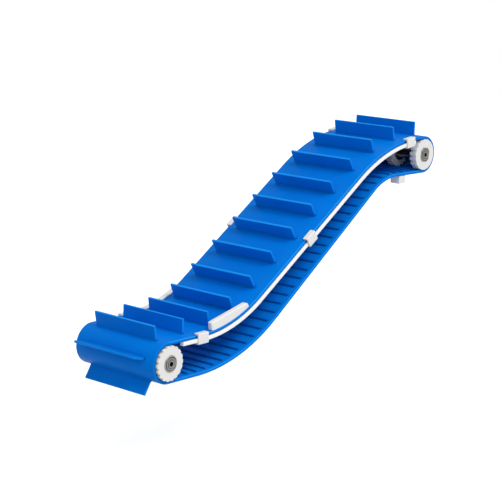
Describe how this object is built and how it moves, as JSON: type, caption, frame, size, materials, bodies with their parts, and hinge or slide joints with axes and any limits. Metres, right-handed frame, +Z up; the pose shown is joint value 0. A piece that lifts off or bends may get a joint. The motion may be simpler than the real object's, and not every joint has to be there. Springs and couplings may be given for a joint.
{
  "type": "cleated conveyor belt",
  "caption": "Climbing conveyor belt run with upright cleats and a toothed inner face, carried by plastic sprockets on square shafts, with wear strips, edge clips and guide shoes",
  "frame": {"origin": "on the tail shaft's axis at the middle of the belt's width", "axes": "+X runs level from the tail towards the head, +Y runs across the belt along the shafts, +Z is up"},
  "size_m": [1.8351, 0.4516, 0.9293],
  "materials": {
    "belt_plastic": "smooth blue polyurethane with a soft sheen",
    "cleat_plastic": "smooth blue polyurethane, a little deeper in tone than the belt",
    "sprocket_plastic": "machined white plastic, satin",
    "guide_plastic": "white low-friction plastic, satin",
    "shaft_steel": "turned stainless steel",
    "collar_steel": "turned stainless steel"
  },
  "bodies": {
    "belt_run": {"belt": "belt_plastic", "cleat_01": "cleat_plastic", "cleat_02": "cleat_plastic", "cleat_03": "cleat_plastic", "cleat_04": "cleat_plastic", "cleat_05": "cleat_plastic", "cleat_06": "cleat_plastic", "cleat_07": "cleat_plastic", "cleat_08": "cleat_plastic", "cleat_09": "cleat_plastic", "cleat_10": "cleat_plastic", "cleat_11": "cleat_plastic", "cleat_12": "cleat_plastic", "cleat_13": "cleat_plastic", "cleat_14": "cleat_plastic", "cleat_15": "cleat_plastic", "drive_bars": "belt_plastic", "edge_clip_far_1": "guide_plastic", "edge_clip_far_2": "guide_plastic", "edge_clip_far_3": "guide_plastic", "edge_clip_near_1": "guide_plastic", "edge_clip_near_2": "guide_plastic", "edge_clip_near_3": "guide_plastic", "hold_down_shoe_far": "guide_plastic", "hold_down_shoe_near": "guide_plastic", "return_shoe_far": "guide_plastic", "return_shoe_near": "guide_plastic", "wear_strip_far": "guide_plastic", "wear_strip_near": "guide_plastic"},
    "tail_shaft_set": {"tail_collar_far": "collar_steel", "tail_collar_near": "collar_steel", "tail_retainer_rings": "collar_steel", "tail_shaft": "shaft_steel", "tail_sprocket_inner_far": "sprocket_plastic", "tail_sprocket_inner_near": "sprocket_plastic", "tail_sprocket_outer_far": "sprocket_plastic", "tail_sprocket_outer_near": "sprocket_plastic"},
    "head_shaft_set": {"head_collar_far": "collar_steel", "head_collar_near": "collar_steel", "head_retainer_rings": "collar_steel", "head_shaft": "shaft_steel", "head_sprocket_inner_far": "sprocket_plastic", "head_sprocket_inner_near": "sprocket_plastic", "head_sprocket_outer_far": "sprocket_plastic", "head_sprocket_outer_near": "sprocket_plastic"}
  },
  "joints": [
    {"name": "tail_shaft_turn", "type": "hinge", "parent": "belt_run", "child": "tail_shaft_set", "pos_m": [0, 0, 0], "axis": [0, 1, 0], "continuous": true, "deforming": ["drive_bars"]},
    {"name": "head_shaft_turn", "type": "hinge", "parent": "belt_run", "child": "head_shaft_set", "pos_m": [1.61477, 0, 0.66291], "axis": [0, 1, 0], "continuous": true}
  ],
  "couplings": [
    {"joint": "tail_shaft_turn", "follows": "head_shaft_turn", "ratio": 1}
  ]
}
